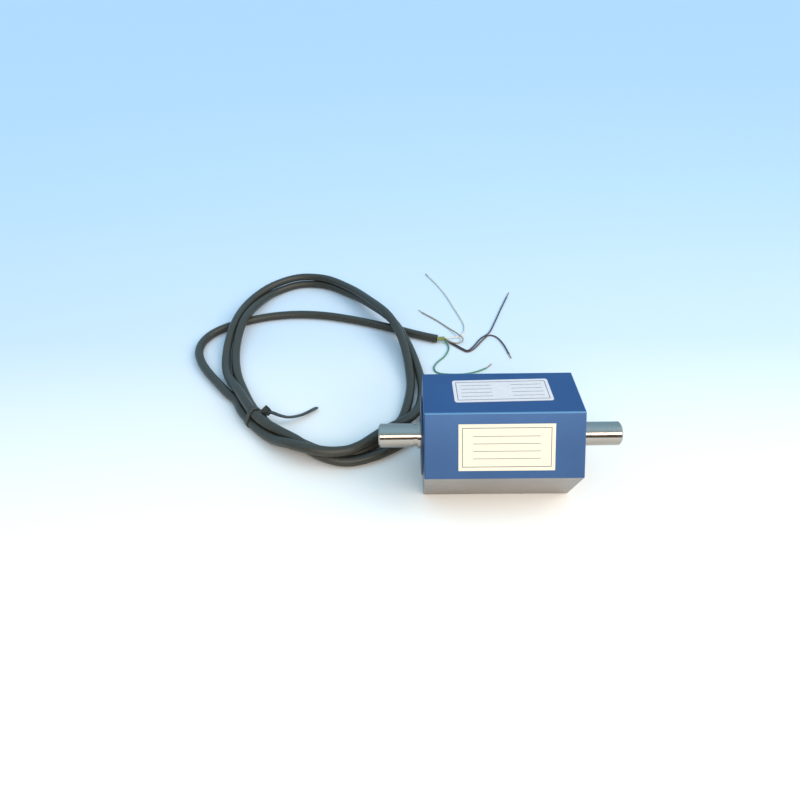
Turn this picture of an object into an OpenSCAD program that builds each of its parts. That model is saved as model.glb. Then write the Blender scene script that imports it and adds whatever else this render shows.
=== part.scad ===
// Rotary torque sensor: hexagonal block housing, through shaft and a coiled cable.
// The shaft runs along X, the block stands on one flat with Z up, and the origin is the centre of its base.

/* [Housing] */
// Distance between opposite flats of the hexagonal block
across_flats = 80; // [76:1:96]
// Length of the block along the shaft
housing_length = 110; // [106:1:140]
// Width of the broken edges of the block
edge_break = 1; // [0.4:0.1:1.2]
// Radial gap of parts that sit in each other
fit_gap = 0.05; // [0.02:0.01:0.1]

/* [Dowel pins] */
// Diameter of the pins between the two halves
dowel_dia = 4; // [3:0.5:5]
// Depth of a pin in either half
dowel_depth = 7; // [5:0.5:9]
// Distance of each pin from the middle of the block, along the shaft
dowel_x = 30; // [20:1:40]
// Distance of each pin from the shaft axis
dowel_y = 34; // [32.5:0.5:37]

/* [Base holes] */
// Spacing of the tapped holes along the shaft
base_pitch_x = 80; // [60:1:88]
// Spacing of the tapped holes across the base
base_pitch_y = 28; // [20:1:32]
// Core diameter of the tapped holes
base_hole_dia = 5; // [3.3:0.1:6]
// Depth of the tapped holes
base_hole_depth = 10; // [6:0.5:11]

/* [Flanges] */
// Outer diameter of an end flange
flange_dia = 60; // [58:0.5:66]
// How far a flange stands proud of the block
flange_proud = 1.5; // [0.5:0.1:3]
// How deep a flange is sunk in the block
flange_sink = 3.5; // [2:0.1:5]
// Thickness of the flange in front of the bearing
flange_web = 5.5; // [4.5:0.1:7]
// Depth of the space between web and bearing
flange_relief = 1.5; // [1.4:0.1:3]
// Wall of the spigot round the bearing
spigot_wall = 2.5; // [2:0.1:3]
// Broken edge of the flange's rim
flange_break = 0.5; // [0.2:0.1:1]
// Radial gap between the shaft and the flange
shaft_gap = 0.3; // [0.2:0.05:0.6]
// Number of screws in a flange
screw_count = 4; // [4:2:8]
// Thread diameter of a flange screw
screw_dia = 3; // [2:0.5:3.5]
// Head diameter of a flange screw
screw_head_dia = 5.6; // [4.5:0.1:6]
// Height of the countersunk head
screw_head_height = 1.6; // [1.2:0.1:2]
// Length of a flange screw
screw_length = 10; // [8:0.5:14]
// Width across the flats of the socket in a screw head
screw_socket = 2; // [1.5:0.1:2.5]
// How far a screw head lies below the flange's face
screw_sink = 0.1; // [0.05:0.05:0.4]

/* [Bearings] */
// Bore of a bearing, and diameter of the shaft there
bearing_bore = 20; // [19:0.5:21]
// Outer diameter of a bearing
bearing_od = 42; // [41:0.5:44]
// Width of a bearing
bearing_width = 12; // [10:0.5:14]
// Diameter of a ball
ball_dia = 6.35; // [5.5:0.05:6.8]
// Number of balls in a bearing
ball_count = 9; // [7:1:10]
// Gap between a ball and its track
ball_gap = 0.15; // [0.05:0.05:0.2]
// Height of the ring shoulders short of the ball centres
shoulder_drop = 2.1; // [1.9:0.1:2.4]
// Chamfer on the seat edges of the rings
ring_chamfer = 0.6; // [0.3:0.1:0.8]
// Radial thickness of the cage
cage_wall = 1.8; // [1.2:0.1:2.2]
// Width of the cage
cage_width = 8; // [7.4:0.1:9]
// Gap between a ball and its pocket in the cage
pocket_gap = 0.2; // [0.1:0.05:0.3]
// Thickness of a retaining ring
clip_thickness = 1.2; // [1:0.1:1.3]
// Depth of the groove under a retaining ring
clip_groove_depth = 0.5; // [0.3:0.1:0.8]
// Radial height of a retaining ring
clip_height = 2.8; // [2:0.1:3.2]
// Thickness of the preload spring's plate
spring_plate = 0.6; // [0.4:0.1:0.9]

/* [Shaft] */
// Diameter of the free shaft ends
end_dia = 18; // [14:0.5:19]
// Length of the left end outside the block
left_end_length = 33; // [20:1:60]
// Length of the right end outside the block
right_end_length = 37; // [20:1:60]
// Chamfer at the shaft tips
tip_chamfer = 1.2; // [0.5:0.1:2]
// How far the bearing seat reaches out of the flange
seat_reach = 2.5; // [1:0.1:5]
// Width of the undercut beside the flange
undercut_width = 3; // [2:0.1:5]
// Depth of the undercut below the free end
undercut_depth = 0.8; // [0.4:0.1:1.5]
// Diameter of the collar between the bearings
collar_dia = 24; // [22.5:0.5:26]
// Diameter of the torsion section
torsion_dia = 14; // [10:0.5:18]
// Length of the torsion section
torsion_length = 24; // [18:1:30]
// Length of the cone at each end of the torsion section
torsion_taper = 5; // [3:0.5:6]

/* [Strain gauges] */
// Number of gauges round the torsion section
gauge_count = 4; // [2:1:4]
// Length of a gauge
gauge_length = 10; // [6:0.5:14]
// Width of a gauge
gauge_width = 6; // [4:0.5:6.5]
// Thickness of a gauge
gauge_thickness = 0.2; // [0.1:0.05:0.4]

/* [Rotary transformer] */
// Middle of the transformer along the shaft
transformer_x = -26; // [-28:0.5:-25]
// Width of the rotor and stator cores
core_width = 12; // [10:0.5:14]
// Outer diameter of the rotor core
rotor_dia = 34; // [31:0.5:36]
// Gap between the rotor and the stator
air_gap = 0.5; // [0.3:0.1:0.8]
// Width of the windings
winding_width = 7; // [5:0.5:8]
// Depth of the winding slots
slot_depth = 3; // [2:0.1:3.2]
// How far a winding lies below the mouth of its slot
winding_drop = 0.4; // [0.2:0.1:0.8]

/* [Rotor board] */
// Inner face of the board along the shaft
rotor_board_x = 19; // [18:0.5:20]
// Outer diameter of the board
rotor_board_dia = 40; // [34:0.5:44]
// Thickness of the circuit boards
board_thickness = 1.6; // [1:0.1:2]
// Number of chips on the rotor board
rotor_chip_count = 6; // [3:1:8]
// Side of a chip
chip_side = 3.2; // [2:0.1:4]
// Height of a chip
chip_height = 1.2; // [0.8:0.1:1.8]

/* [Amplifier] */
// Length of the pocket in the upper half
pocket_length = 62; // [62:1:66]
// Width of the pocket
pocket_width = 30; // [30:0.5:34]
// Thickness of the roof over the pocket
roof = 6; // [4:0.5:6]
// Length of the amplifier board
board_length = 58; // [54:1:60]
// Width of the amplifier board
board_width = 27; // [26:0.5:28]
// Distance of the board screws from the board's edges
board_screw_inset = 3.5; // [3.2:0.1:4.5]
// Diameter of the posts under the roof
post_dia = 6; // [5:0.5:6.4]
// Thread diameter of the board screws
board_screw_dia = 2.5; // [2:0.1:3]
// Head diameter of the board screws
board_screw_head = 4.5; // [4:0.1:5]
// Head height of the board screws
board_screw_head_height = 1.6; // [1:0.1:2]
// Depth of the board screws in the posts
board_screw_grip = 3; // [2:0.1:3.5]
// Height of the tallest part on the board
part_height = 4; // [3.6:0.1:4.2]
// Gap between that part and the bore
part_gap = 0.9; // [0.4:0.1:1.2]

/* [Cable gland] */
// Place of the gland along the shaft
gland_x = 28; // [24:1:29]
// Thread diameter of the gland
gland_thread_dia = 16; // [15:0.5:17]
// Length of the thread in the wall
gland_thread_length = 8; // [6:0.5:10]
// Width across the flats of the gland's hexagon and nut
gland_hex = 20; // [19.5:0.5:22]
// Height of the gland's hexagon
gland_hex_height = 4; // [3:0.5:5]
// Diameter of the gland's neck
gland_neck_dia = 13.4; // [13:0.1:14]
// Height of the neck
gland_neck_height = 4; // [3:0.5:5]
// Height of the rubber seal on the neck
seal_height = 3; // [2:0.5:4]
// Height of the nut's dome
dome_height = 3.5; // [2.5:0.5:4]
// Width of the gap between hexagon and nut
nut_gap = 0.8; // [0.4:0.1:1.2]
// Diameter of the cable
cable_dia = 8.5; // [8:0.1:8.6]
// Radial gap round the cable in the gland
cable_gap = 0.15; // [0.1:0.05:0.3]

/* [Labels] */
// Length of the type label on the top face
label_length = 69; // [40:1:80]
// Width of the type label
label_width = 25.5; // [16:0.5:30]
// Corner radius of the type label
label_radius = 2; // [0.5:0.5:4]
// Thickness of the type label
label_thickness = 0.2; // [0.1:0.05:0.5]
// Place of the type label along the shaft
label_x = 1; // [-8:0.5:8]
// Place of the type label across the top
label_y = 1.75; // [-4:0.25:4]
// Turn of the type label in degrees
label_turn = 1.2; // [-2:0.1:2]
// Length of the sticker on the upper front face
sticker_length = 66; // [40:1:80]
// Width of the sticker
sticker_width = 32.5; // [16:0.5:36]
// Thickness of the sticker
sticker_thickness = 0.15; // [0.1:0.05:0.4]
// Place of the sticker along the shaft
sticker_x = 1.4; // [-8:0.2:8]
// Place of the sticker below the middle of the face
sticker_drop = 1; // [-3:0.25:3]

/* [Cable end] */
// Diameter of the cores
core_dia = 1.5; // [1.2:0.1:1.8]
// Diameter of the inner sheath
sheath_dia = 4.4; // [4:0.1:5]
// Width of the cable tie
tie_width = 4.6; // [4:0.1:5]
// Thickness of the cable tie
tie_thickness = 1.2; // [1:0.1:1.4]
// Side of the tie's head
tie_head = 6.4; // [5.6:0.1:7]

/* [Hidden] */
$fn = 64;

blue = [0.20, 0.33, 0.58];
natural = [0.72, 0.71, 0.69];
steel = [0.70, 0.71, 0.72];
copper = [0.72, 0.42, 0.22];
ferrite = [0.20, 0.20, 0.22];
board_green = [0.10, 0.35, 0.20];
black = [0.13, 0.14, 0.14];

axis_z = across_flats / 2;
hex_side = across_flats / sqrt(3);
half_length = housing_length / 2;
cavity_dia = bearing_od + 2 * spigot_wall;

// Places along the shaft, from the middle outwards
flange_face_x = half_length + flange_proud;
web_x = flange_face_x - flange_web;
bearing_out_x = web_x - flange_relief;
bearing_in_x = bearing_out_x - bearing_width;
bearing_mid_x = (bearing_in_x + bearing_out_x) / 2;
undercut_in_x = flange_face_x + seat_reach;
undercut_out_x = undercut_in_x + undercut_width;
left_tip_x = -(half_length + left_end_length);
right_tip_x = half_length + right_end_length;

// Radii of the flange and the bearing
seat_r = bearing_od / 2 + fit_gap;
relief_r = bearing_od / 2 - 4;
screw_circle_r = (cavity_dia + flange_dia) / 4;
pitch_r = (bearing_bore + bearing_od) / 4;
track_r = ball_dia / 2 + ball_gap;
clip_inner_r = bearing_bore / 2 - clip_groove_depth + fit_gap;
clip_groove_width = clip_thickness + 0.1;

// Heights in the upper half
board_z = axis_z + cavity_dia / 2 + part_gap + part_height;
post_z = board_z + board_thickness;
ceiling_z = across_flats - roof;
board_screw_x = board_length / 2 - board_screw_inset;
board_screw_y = board_width / 2 - board_screw_inset;

// Heights on the gland's axis, measured from the shaft axis
gland_face = across_flats / 2;
gland_neck = gland_face + gland_hex_height;
gland_seat = gland_neck + gland_neck_height;
gland_dome = gland_seat + seal_height;
gland_bore_r = cable_dia / 2 + cable_gap;

// Radii of the rotary transformer
rotor_r = rotor_dia / 2;
stator_r = rotor_r + air_gap;

// Route of the cable from the gland to the coil, where it lies on the floor at this height
lie = cable_dia / 2;
lead_route = [
    [28, 43.3, 15], [28, 54, 8.85], [28, 64, 5.3], [28, 76, lie], [25, 92, lie], [17, 105.5, lie],
    [5, 114.5, lie], [-9, 117.5, lie], [-23, 114.5, lie], [-35, 105.5, lie], [-43, 92, lie],
    [-46.5, 76, lie], [-49, 60.5, lie], [-56, 46.5, lie], [-67, 34.5, lie], [-80, 24, lie],
    [-94, 15.5, lie]
];
// Route of the cable from the tie to its stripped end, twice under the coil
tail_route = [
    [-215, 74, 5], [-224, 91, lie], [-236.5, 104, lie], [-249, 119.5, lie], [-262.5, 136.5, lie],
    [-274.5, 155, lie], [-282.5, 174, lie], [-284, 191.5, lie], [-279.5, 207.5, lie], [-269.5, 221, lie],
    [-255.5, 231.5, lie], [-239, 240, lie], [-221, 246.5, lie], [-200, 250, lie], [-180, 250, lie],
    [-160, 247, lie], [-142, 242, lie], [-125, 236, lie], [-109, 229.5, lie], [-94, 222.5, lie],
    [-80, 216, lie], [-65, 208, lie], [-50, 200.5, lie], [-35, 194, lie]
];
// Stations of the oval coil: place, half of its width and its height there
coil_stations = [
    [-114, 14, 9, 18], [-142, 19, 13, 21.5], [-173, 37, 12, 16.5], [-200, 62, 9, 17.5], [-220, 93, 9, 16],
    [-239, 135, 9, 10], [-249, 177, 9.5, 12.5], [-251, 222, 10, 17.5], [-245, 269, 10.5, 16],
    [-228, 306, 7, 16.5], [-200, 327, 7, 16.5], [-169, 323, 7, 16.5], [-135, 297, 5, 17.5],
    [-109, 262, 6, 21.5], [-83, 216, 7, 25], [-67, 173, 7.5, 18], [-59, 120, 9.5, 9.5], [-62, 76, 10, 12.5],
    [-77, 48, 6.5, 17], [-93, 26, 8.5, 17]
];
coil_steps = 4;
// Cross-section of the coil, as shares of that half width and height
coil_section = [
    [-0.8, 0], [-1, 0.25], [-1, 0.6], [-0.5, 1], [0.5, 1], [1, 0.6], [1, 0.25], [0.8, 0]
];
// The tie holds three strands at this station: two side by side and one on top of them
tie_station = 3;
strand_pitch = cable_dia + 0.7;
strand_z = tie_thickness + cable_dia / 2 + 0.15;
bundle = [
    [strand_pitch / 2, strand_z], [0, strand_z + strand_pitch * sin(60)], [-strand_pitch / 2, strand_z]
];
tie_inner_r = cable_dia / 2 + 0.1;
// Direction of the tie's head, seen from the inner strand
tie_head_turn = 155;
tie_tail_route = [
    [-190, 66.5, 10.5], [-185, 64, 11.5], [-179, 62.5, 9.8], [-171.5, 63, 7], [-161, 69.5, 4],
    [-149, 82.5, 1.9]
];
sheath_route = [[-35, 194, lie], [-27, 195, 3.9]];
white_route = [
    [-27, 196.3, 3.9], [-20, 200, 2], [-11, 203, 0.8], [-5, 212, 0.8], [-3, 225, 0.8], [-6, 243, 0.8],
    [-12, 268, 0.8], [-19, 297, 0.8], [-30, 330, 0.8], [-42, 358, 0.8]
];
tan_route = [
    [-27, 194.4, 5], [-21, 190.5, 3], [-15, 188, 2.4], [-9, 190, 2.4], [-7, 197, 2.4], [-11, 205, 2.6],
    [-21, 222, 0.8], [-34, 240, 0.8], [-47, 255, 0.8], [-53, 263, 0.8]
];
green_route = [
    [-27, 193.6, 2.9], [-24, 188, 1.2], [-23, 181, 0.8], [-28, 166, 0.8], [-36, 155, 0.8], [-40, 145, 0.8],
    [-37, 137, 0.8], [-26, 134, 0.8], [-6, 135, 0.8], [12, 144, 0.8], [18, 151, 0.8]
];
black_route = [
    [-27, 195.6, 2.5], [-18, 190, 0.8], [-9, 180, 0.8], [-4, 176, 0.8], [2, 182, 0.8], [12, 199, 0.8],
    [22, 210, 0.8], [31, 232, 0.8], [41, 260, 0.8], [57, 303, 0.8]
];
brown_route = [
    [-27, 196.8, 2.4], [-18, 187.4, 0.8], [-9, 177.5, 0.8], [-4, 173.6, 0.8], [3, 179, 0.8], [14, 196, 0.8],
    [22, 205.5, 0.8], [28, 203, 0.8], [34, 190, 0.8], [39, 161, 0.8]
];
cable_sides = 10;
core_sides = 8;

// Helpers
function unit(v) = v / norm(v);
function tangent(route, i) = unit(route[min(i + 1, len(route) - 1)] - route[max(i - 1, 0)]);
function side_of(t) = unit(cross(t, [0, 0, 1]));
function round_profile(r, n) = [for (k = [0:n - 1]) r * [cos(360 * k / n), sin(360 * k / n)]];
function strip_profile(w, h) = [[-w / 2, -h / 2], [w / 2, -h / 2], [w / 2, h / 2], [-w / 2, h / 2]];
// Smooth curve through four neighbours, for any kind of value
function smooth(a, b, c, d, t) =
    (2 * b + (c - a) * t + (2 * a - 5 * b + 4 * c - d) * t * t + (3 * b - a - 3 * c + d) * t * t * t) / 2;
function station(i) = coil_stations[(i + len(coil_stations)) % len(coil_stations)];
function coil_at(u) =
    let (i = floor(u), t = u - i)
    smooth(station(i - 1), station(i), station(i + 1), station(i + 2), t);
function coil_outward(u) =
    let (d = coil_at(u + 0.05) - coil_at(u - 0.05))
    unit([-d[1], d[0]]);

// A profile swept along a route, with a ring at each of its points
module sweep(route, profile) {
    n = len(profile);
    last = (len(route) - 1) * n;
    rings = [
        for (i = [0:len(route) - 1])
            let (t = tangent(route, i), s = side_of(t), u = cross(s, t))
            for (p = profile) route[i] + p[0] * s + p[1] * u
    ];
    walls = [
        for (i = [0:len(route) - 2], j = [0:n - 1])
            let (a = i * n + j, b = i * n + (j + 1) % n)
            each [[a, b, b + n], [a, b + n, a + n]]
    ];
    start_cap = [for (j = [n - 1:-1:0]) j];
    end_cap = [for (j = [0:n - 1]) last + j];
    polyhedron(rings, concat(walls, [start_cap, end_cap]));
}

// Children drawn about Z are laid along the shaft axis
module on_axis(x = 0) {
    translate([x, 0, axis_z]) rotate([0, 90, 0]) children();
}

module axle(x, length, d) {
    on_axis(x) cylinder(d = d, h = length);
}

module rounded_rect(size, r) {
    square([size[0] - 2 * r, size[1]], center = true);
    square([size[0], size[1] - 2 * r], center = true);
    for (x = [-1, 1], y = [-1, 1])
        translate([x * (size[0] / 2 - r), y * (size[1] / 2 - r)]) circle(r = r);
}

// Housing
module hex_profile() {
    cut = edge_break / sqrt(3);
    corners = [for (k = [0:5]) hex_side * [cos(60 * k), sin(60 * k)]];
    polygon([
        for (k = [0:5], way = [5, 1])
            corners[k] + cut * unit(corners[(k + way) % 6] - corners[k])
    ]);
}

module end_edge_cuts() {
    for (k = [0:5], end = [-1, 1])
        translate([0, 0, axis_z]) rotate([60 * k, 0, 0]) translate([end * half_length, 0, across_flats / 2])
            rotate([0, 45, 0]) cube([edge_break, 2 * hex_side, edge_break], center = true);
}

module flange_screw_places() {
    for (k = [0:screw_count - 1])
        rotate(360 * (k + 0.5) / screw_count) translate([screw_circle_r, 0, 0]) children();
}

// Both halves before they are parted, with the bore, the flange seats and their screw holes
module housing_block() {
    thread_length = screw_length + 1;
    difference() {
        translate([0, 0, axis_z]) rotate([90, 0, 90])
            linear_extrude(housing_length, center = true) hex_profile();
        end_edge_cuts();
        axle(-half_length - 1, housing_length + 2, cavity_dia);
        for (end = [0, 1]) mirror([end, 0, 0]) {
            axle(half_length - flange_sink, flange_sink + 1, flange_dia + 2 * fit_gap);
            on_axis(flange_face_x - thread_length) flange_screw_places()
                cylinder(d = screw_dia + 2 * fit_gap, h = thread_length);
        }
    }
}

module dowel_places() {
    for (way = [-1, 1]) translate([way * dowel_x, -way * dowel_y, axis_z]) children();
}

module dowel_holes() {
    dowel_places() cylinder(d = dowel_dia + 2 * fit_gap, h = 2 * dowel_depth, center = true);
}

module board_screw_places() {
    for (x = [-1, 1], y = [-1, 1]) translate([x * board_screw_x, y * board_screw_y, 0]) children();
}

module amplifier_pocket() {
    difference() {
        translate([-pocket_length / 2, -pocket_width / 2, axis_z])
            cube([pocket_length, pocket_width, ceiling_z - axis_z]);
        translate([0, 0, post_z]) board_screw_places() cylinder(d = post_dia, h = across_flats);
    }
    translate([0, 0, post_z - 1]) board_screw_places()
        cylinder(d = board_screw_dia + 2 * fit_gap, h = board_screw_grip + 1.5);
}

module upper_housing() {
    color(blue) difference() {
        intersection() {
            housing_block();
            translate([-housing_length, -across_flats, axis_z])
                cube([2 * housing_length, 2 * across_flats, across_flats]);
        }
        dowel_holes();
        amplifier_pocket();
    }
}

module lower_housing() {
    color(natural) difference() {
        intersection() {
            housing_block();
            translate([-housing_length, -across_flats, axis_z - across_flats])
                cube([2 * housing_length, 2 * across_flats, across_flats]);
        }
        dowel_holes();
        for (x = [-1, 1], y = [-1, 1])
            translate([x * base_pitch_x / 2, y * base_pitch_y / 2, -1])
                cylinder(d = base_hole_dia, h = base_hole_depth + 1);
        on_gland_axis() {
            translate([0, 0, gland_face - gland_thread_length])
                cylinder(d = gland_thread_dia + 2 * fit_gap, h = gland_thread_length + 1);
            cylinder(r = gland_bore_r, h = gland_face);
        }
    }
}

module dowel_pins() {
    color(steel) dowel_places() cylinder(d = dowel_dia, h = 2 * dowel_depth - 1, center = true);
}

// Flanges, drawn for the right end; the left ones are mirrored
module end_flange(shoulder_r) {
    hole_r = bearing_bore / 2 + shaft_gap;
    rim_r = flange_dia / 2;
    spigot_r = cavity_dia / 2 - fit_gap;
    plate = flange_proud + flange_sink;
    seat = flange_web + flange_relief;
    depth = seat + bearing_width;
    difference() {
        on_axis(flange_face_x) mirror([0, 0, 1]) rotate_extrude() polygon([
            [hole_r, 0], [rim_r - flange_break, 0], [rim_r, flange_break], [rim_r, plate], [spigot_r, plate],
            [spigot_r, depth], [seat_r, depth], [seat_r, seat], [shoulder_r, seat], [shoulder_r, flange_web],
            [hole_r, flange_web]
        ]);
        on_axis(flange_face_x - screw_sink) flange_screw_places() screw_shape(fit_gap, 1);
    }
}

// A countersunk screw whose head is level with z = 0, pointing down
module screw_shape(gap, above) {
    head_r = screw_head_dia / 2 + gap;
    shank_r = screw_dia / 2 + gap;
    rotate_extrude() polygon([
        [0, above], [head_r, above], [head_r, 0], [shank_r, -screw_head_height],
        [shank_r, -screw_length], [0, -screw_length]
    ]);
}

module flange_screws() {
    on_axis(flange_face_x - screw_sink) flange_screw_places() difference() {
        screw_shape(0, 0);
        translate([0, 0, -screw_head_height])
            cylinder(d = screw_socket / cos(30), h = screw_head_height + 1, $fn = 6);
    }
}

module left_end_flange() { color(blue) mirror([1, 0, 0]) end_flange(relief_r); }

module right_end_flange() { color(blue) end_flange(seat_r); }

module left_flange_screws() { color(steel) mirror([1, 0, 0]) flange_screws(); }

module right_flange_screws() { color(steel) flange_screws(); }

// Bearings, drawn for the right end
module bearing_ring(shoulder_r, fit_r, chamfer) {
    half = bearing_width / 2;
    on_axis(bearing_mid_x) rotate_extrude() difference() {
        polygon([
            [shoulder_r, -half], [fit_r - chamfer, -half], [fit_r, ring_chamfer - half],
            [fit_r, half - ring_chamfer], [fit_r - chamfer, half], [shoulder_r, half]
        ]);
        translate([pitch_r, 0]) circle(r = track_r);
    }
}

module outer_ring() {
    bearing_ring(pitch_r + shoulder_drop, bearing_od / 2, ring_chamfer);
}

module inner_ring() {
    bearing_ring(pitch_r - shoulder_drop, bearing_bore / 2 + fit_gap, -ring_chamfer);
}

module ball_places() {
    for (k = [0:ball_count - 1]) rotate(360 * (k + 0.5) / ball_count) translate([pitch_r, 0, 0]) children();
}

module cage() {
    on_axis(bearing_mid_x) difference() {
        rotate_extrude() translate([pitch_r, 0]) square([cage_wall, cage_width], center = true);
        ball_places() rotate([0, 90, 0])
            cylinder(d = ball_dia + 2 * pocket_gap, h = 3 * cage_wall, center = true);
    }
}

module balls() {
    on_axis(bearing_mid_x) ball_places() sphere(d = ball_dia);
}

module retaining_ring() {
    outer_r = clip_inner_r + clip_height;
    lug_r = clip_height * 0.7;
    lug_turn = 14;
    on_axis(bearing_out_x) difference() {
        union() {
            cylinder(r = outer_r, h = clip_thickness);
            for (way = [-1, 1]) rotate(way * lug_turn) translate([outer_r - lug_r / 2, 0, 0])
                cylinder(r = lug_r, h = clip_thickness);
        }
        translate([0, 0, -1]) cylinder(r = clip_inner_r, h = clip_thickness + 2);
        translate([0, -lug_r, -1]) cube([2 * outer_r, 2 * lug_r, clip_thickness + 2]);
        for (way = [-1, 1]) rotate(way * lug_turn) translate([outer_r - lug_r / 2, 0, -1])
            cylinder(r = lug_r * 0.4, h = clip_thickness + 2);
    }
}

module left_outer_ring() { color(steel) mirror([1, 0, 0]) outer_ring(); }

module right_outer_ring() { color(steel) outer_ring(); }

module left_inner_ring() { color(steel) mirror([1, 0, 0]) inner_ring(); }

module right_inner_ring() { color(steel) inner_ring(); }

module left_cage() { color("goldenrod") mirror([1, 0, 0]) cage(); }

module right_cage() { color("goldenrod") cage(); }

module left_balls() { color(steel) mirror([1, 0, 0]) balls(); }

module right_balls() { color(steel) balls(); }

module left_retaining_ring() { color(black) mirror([1, 0, 0]) retaining_ring(); }

module right_retaining_ring() { color(black) retaining_ring(); }

// A conical spring plate between the right flange and the outer ring
module preload_spring() {
    inner_r = pitch_r + shoulder_drop;
    outer_r = bearing_od / 2 - ring_chamfer;
    color(steel) on_axis(bearing_out_x) rotate_extrude() polygon([
        [outer_r, 0], [outer_r, spring_plate],
        [inner_r, flange_relief], [inner_r, flange_relief - spring_plate]
    ]);
}

// Shaft
module measuring_shaft() {
    seat = bearing_bore / 2;
    end_r = end_dia / 2;
    undercut_r = end_r - undercut_depth;
    collar_r = collar_dia / 2;
    thin_r = torsion_dia / 2;
    clip_r = seat - clip_groove_depth;
    clip_x = bearing_out_x + clip_groove_width;
    cone_x = torsion_length / 2 + torsion_taper;
    inner_half = [
        [undercut_r, undercut_in_x], [seat, undercut_in_x], [seat, clip_x], [clip_r, clip_x],
        [clip_r, bearing_out_x], [seat, bearing_out_x], [seat, bearing_in_x], [collar_r, bearing_in_x],
        [collar_r, cone_x], [thin_r, torsion_length / 2]
    ];
    right_side = concat([
        [0, right_tip_x], [end_r - tip_chamfer, right_tip_x], [end_r, right_tip_x - tip_chamfer],
        [end_r, undercut_out_x], [undercut_r, undercut_out_x]
    ], inner_half);
    left_side = concat([
        for (i = [len(inner_half) - 1:-1:0]) [inner_half[i][0], -inner_half[i][1]]
    ], [
        [undercut_r, -undercut_out_x], [end_r, -undercut_out_x], [end_r, left_tip_x + tip_chamfer],
        [end_r - tip_chamfer, left_tip_x], [0, left_tip_x]
    ]);
    color(steel) on_axis() rotate_extrude() polygon(concat(right_side, left_side));
}

module strain_gauges() {
    bed_r = torsion_dia / 2;
    color("orange") on_axis() for (k = [0:gauge_count - 1]) rotate(360 * k / gauge_count) intersection() {
        difference() {
            cylinder(r = bed_r + gauge_thickness, h = gauge_length, center = true);
            cylinder(r = bed_r, h = gauge_length + 1, center = true);
        }
        translate([bed_r, 0, 0]) cube([bed_r, gauge_width, gauge_length + 2], center = true);
    }
}

// Rotary transformer: two slotted cores face each other across the air gap
module slotted_core(inner_r, outer_r, slot_inner_r, slot_outer_r) {
    on_axis(transformer_x) rotate_extrude() difference() {
        translate([inner_r, -core_width / 2]) square([outer_r - inner_r, core_width]);
        translate([slot_inner_r, -winding_width / 2]) square([slot_outer_r - slot_inner_r, winding_width]);
    }
}

module winding(inner_r, outer_r) {
    width = winding_width - 2 * fit_gap;
    on_axis(transformer_x) rotate_extrude()
        translate([inner_r, -width / 2]) square([outer_r - inner_r, width]);
}

module rotor_core() {
    color(ferrite) slotted_core(collar_dia / 2 + fit_gap, rotor_r, rotor_r - slot_depth, rotor_r + 1);
}

module rotor_winding() {
    color(copper) winding(rotor_r - slot_depth + fit_gap, rotor_r - winding_drop);
}

module stator_core() {
    color(ferrite) slotted_core(stator_r, cavity_dia / 2 - fit_gap, stator_r - 1, stator_r + slot_depth);
}

module stator_winding() {
    color(copper) winding(stator_r + winding_drop, stator_r + slot_depth - fit_gap);
}

module rotor_board() {
    color(board_green) on_axis(rotor_board_x) difference() {
        cylinder(d = rotor_board_dia, h = board_thickness);
        translate([0, 0, -1]) cylinder(d = collar_dia + 2 * fit_gap, h = board_thickness + 2);
    }
}

module rotor_chips() {
    chip_circle_r = (collar_dia + rotor_board_dia) / 4;
    color(black) on_axis(rotor_board_x + board_thickness) for (k = [0:rotor_chip_count - 1])
        rotate(360 * k / rotor_chip_count) translate([chip_circle_r, 0, chip_height / 2])
            cube([chip_side, chip_side, chip_height], center = true);
}

// Amplifier under the roof of the upper half
module amplifier_board() {
    color(board_green) difference() {
        translate([-board_length / 2, -board_width / 2, board_z])
            cube([board_length, board_width, board_thickness]);
        translate([0, 0, board_z - 1]) board_screw_places()
            cylinder(d = board_screw_dia + 2 * fit_gap, h = board_thickness + 2);
    }
}

module amplifier_parts() {
    chip = 2.2 * chip_side;
    can_r = 0.95 * chip_side;
    color(black) translate([0, 0, board_z]) mirror([0, 0, 1]) {
        for (x = [-1, 1]) translate([x * 1.6 * chip, 0, chip_height / 2])
            cube([chip, chip, chip_height], center = true);
        for (x = [-1, 1], y = [-1, 1]) translate([x * 0.55 * chip, y * 1.1 * chip, 0])
            cylinder(r = can_r, h = part_height);
        for (x = [-2:2]) translate([x * 1.4 * chip_side, 0, chip_height / 4])
            cube([chip_side / 2, chip_side, chip_height / 2], center = true);
    }
}

module board_screws() {
    color(steel) translate([0, 0, board_z]) board_screw_places() {
        cylinder(d = board_screw_dia, h = board_thickness + board_screw_grip);
        translate([0, 0, -board_screw_head_height])
            cylinder(d = board_screw_head, h = board_screw_head_height);
    }
}

// Cable gland on the lower rear face; its own Z points out along that face's normal
module on_gland_axis() {
    translate([gland_x, 0, axis_z]) rotate([-120, 0, 0]) children();
}

module gland_body() {
    color(steel) on_gland_axis() difference() {
        union() {
            translate([0, 0, gland_face - gland_thread_length])
                cylinder(d = gland_thread_dia, h = gland_thread_length);
            translate([0, 0, gland_face]) cylinder(d = gland_hex / cos(30), h = gland_hex_height, $fn = 6);
            translate([0, 0, gland_neck]) cylinder(d = gland_neck_dia, h = gland_neck_height);
        }
        cylinder(r = gland_bore_r, h = 2 * across_flats);
    }
}

module gland_seal() {
    color(black) on_gland_axis() translate([0, 0, gland_seat]) difference() {
        cylinder(d = gland_neck_dia, h = seal_height);
        translate([0, 0, -1]) cylinder(r = gland_bore_r, h = seal_height + 2);
    }
}

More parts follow.
